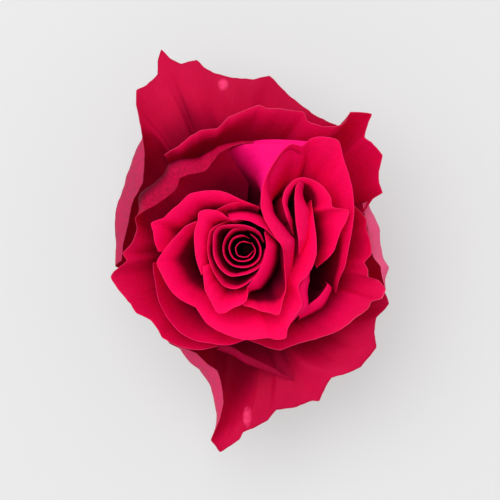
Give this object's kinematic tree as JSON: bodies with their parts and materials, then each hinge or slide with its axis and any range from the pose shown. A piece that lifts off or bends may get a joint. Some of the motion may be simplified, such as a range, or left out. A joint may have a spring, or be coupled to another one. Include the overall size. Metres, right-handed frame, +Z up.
{
  "type": "rose bloom",
  "caption": "Open crimson rose bloom on its green calyx, as picked, with ragged guard petals and a rolled heart; it stands face up.",
  "frame": {"origin": "centre of the flat cut end of the stem, which the flower stands on", "axes": "+Z up along the stem's axis, out of the flower's face; +Y towards the larger guard petal, along the flower's longest side; +X towards the side with the second whorl"},
  "size_m": [0.0784, 0.1136, 0.0633],
  "materials": {
    "petals": "matte",
    "calyx": "satin"
  },
  "bodies": {
    "root": {"bloom": "petals", "calyx": "calyx"}
  },
  "joints": []
}
